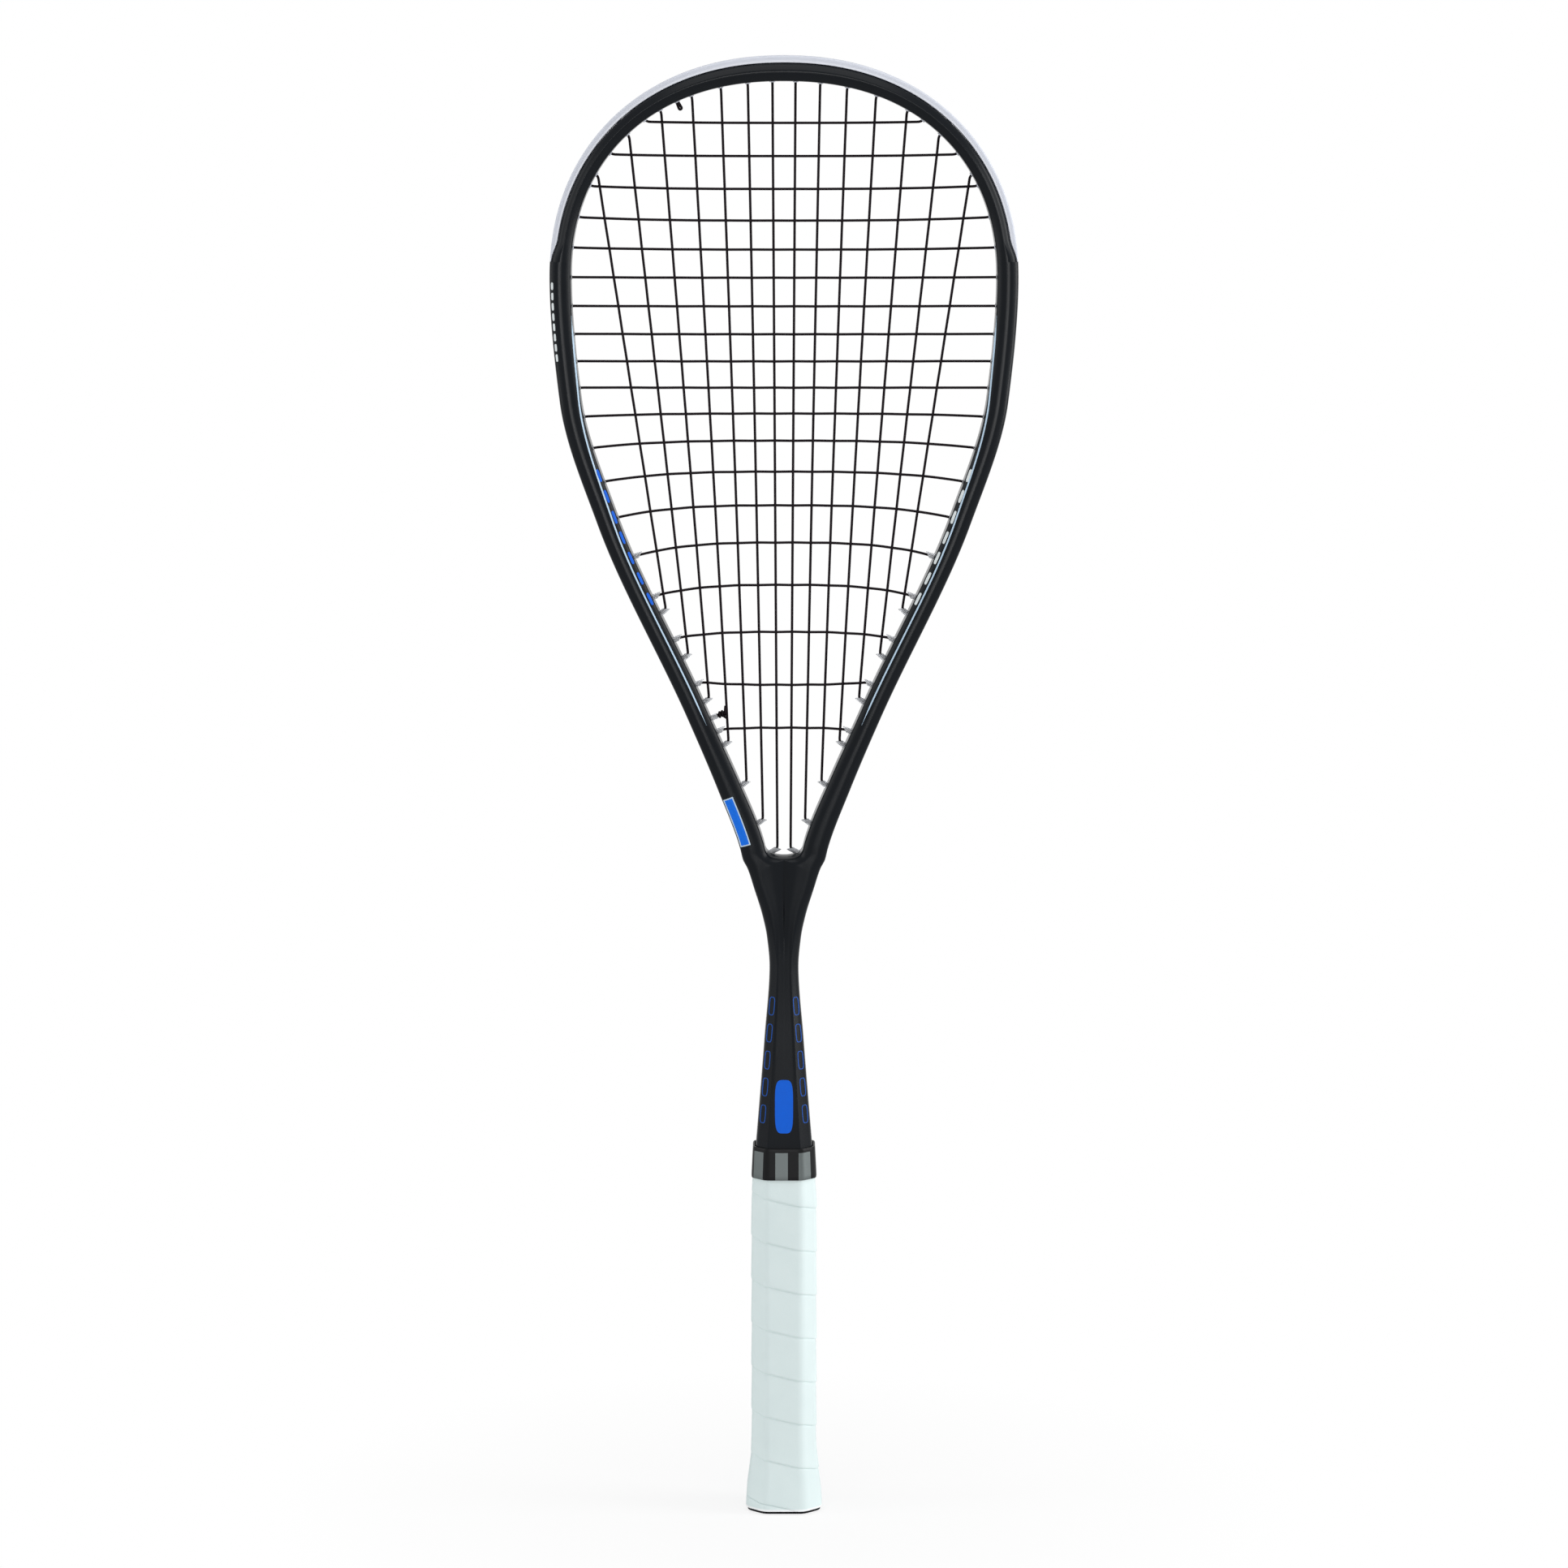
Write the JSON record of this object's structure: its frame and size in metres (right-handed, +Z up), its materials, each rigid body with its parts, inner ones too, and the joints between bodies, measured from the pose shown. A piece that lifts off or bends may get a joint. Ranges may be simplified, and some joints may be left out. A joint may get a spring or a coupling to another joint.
{
  "type": "squash racket",
  "caption": "Strung squash racket: hollow teardrop hoop with a clear bumper guard and grommets, one woven string bed, slim shaft, wrapped octagonal handle and butt cap.",
  "frame": {"origin": "middle of the butt cap's end face", "axes": "+Z up the handle towards the head, +X across the head, +Y out of the back of the string bed"},
  "size_m": [0.2156, 0.0306, 0.685],
  "materials": {
    "carbon": "satin black lacquer on moulded carbon fibre",
    "clear_nylon": "clear moulded nylon",
    "string": "black multifilament string with a light coating",
    "plastic": "black moulded plastic",
    "foam": "grey polyurethane foam",
    "steel": "bright staple wire",
    "grip": "pale synthetic leather wrap with a fine grain",
    "tape": "black tape with silver blocks"
  },
  "bodies": {
    "root": {"frame": "carbon", "bumper_guard": "clear_nylon", "grommet_strip_left": "clear_nylon", "grommet_strip_right": "clear_nylon", "grommet_cross_left_15": "clear_nylon", "grommet_cross_left_16": "clear_nylon", "grommet_cross_left_17": "clear_nylon", "grommet_cross_left_18": "clear_nylon", "grommet_cross_left_19": "clear_nylon", "grommet_cross_right_15": "clear_nylon", "grommet_cross_right_16": "clear_nylon", "grommet_cross_right_17": "clear_nylon", "grommet_cross_right_18": "clear_nylon", "grommet_cross_right_19": "clear_nylon", "grommet_main_low_1": "clear_nylon", "grommet_main_low_2": "clear_nylon", "grommet_main_low_3": "clear_nylon", "grommet_main_low_4": "clear_nylon", "grommet_main_low_5": "clear_nylon", "grommet_main_low_6": "clear_nylon", "grommet_main_low_7": "clear_nylon", "grommet_main_low_8": "clear_nylon", "grommet_main_low_9": "clear_nylon", "grommet_main_low_10": "clear_nylon", "grommet_main_low_11": "clear_nylon", "grommet_main_low_12": "clear_nylon", "grommet_main_low_13": "clear_nylon", "grommet_main_low_14": "clear_nylon", "grommet_tie_low": "clear_nylon", "string": "string", "handle_foam": "foam", "butt_cap": "plastic", "butt_staple_left": "steel", "butt_staple_right": "steel", "grip_wrap": "grip", "finishing_tape": "tape"}
  },
  "joints": []
}
